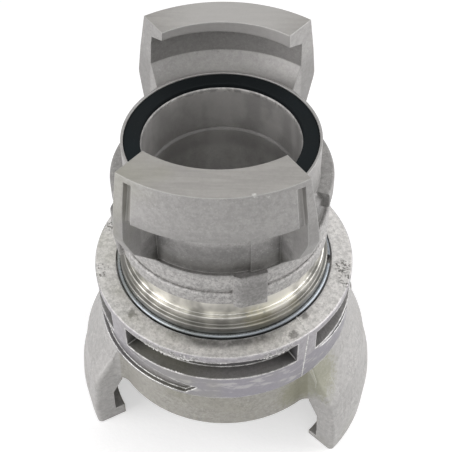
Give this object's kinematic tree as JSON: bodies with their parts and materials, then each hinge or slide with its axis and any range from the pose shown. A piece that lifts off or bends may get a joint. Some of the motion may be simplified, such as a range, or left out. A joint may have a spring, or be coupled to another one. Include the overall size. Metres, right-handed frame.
{
  "type": "quarter turn fire hose coupling",
  "caption": "Hooked quarter turn hose coupling adapter: a small and a large clawed half screwed back to back, with a turning locking ring between them.",
  "frame": {"origin": "on the waterway's axis, on the floor that the two large claws stand on", "axes": "+Z along the waterway from the large half to the small half; one small claw looks along -Y"},
  "size_m": [0.1658, 0.1424, 0.2133],
  "materials": {
    "cast_aluminium": "matt cast",
    "turned_aluminium": "satin turned",
    "spring_steel": "satin",
    "black_rubber": "matt"
  },
  "bodies": {
    "coupling": {"small_half_coupling": "cast_aluminium", "large_half_coupling": "cast_aluminium", "retaining_ring": "spring_steel", "small_seal": "black_rubber", "large_seal": "black_rubber"},
    "ring": {"locking_ring": "turned_aluminium"}
  },
  "joints": [
    {"name": "ring_spin", "type": "hinge", "parent": "coupling", "child": "ring", "pos_m": [0, 0, 0.086], "axis": [0, 0, 1], "continuous": true}
  ]
}
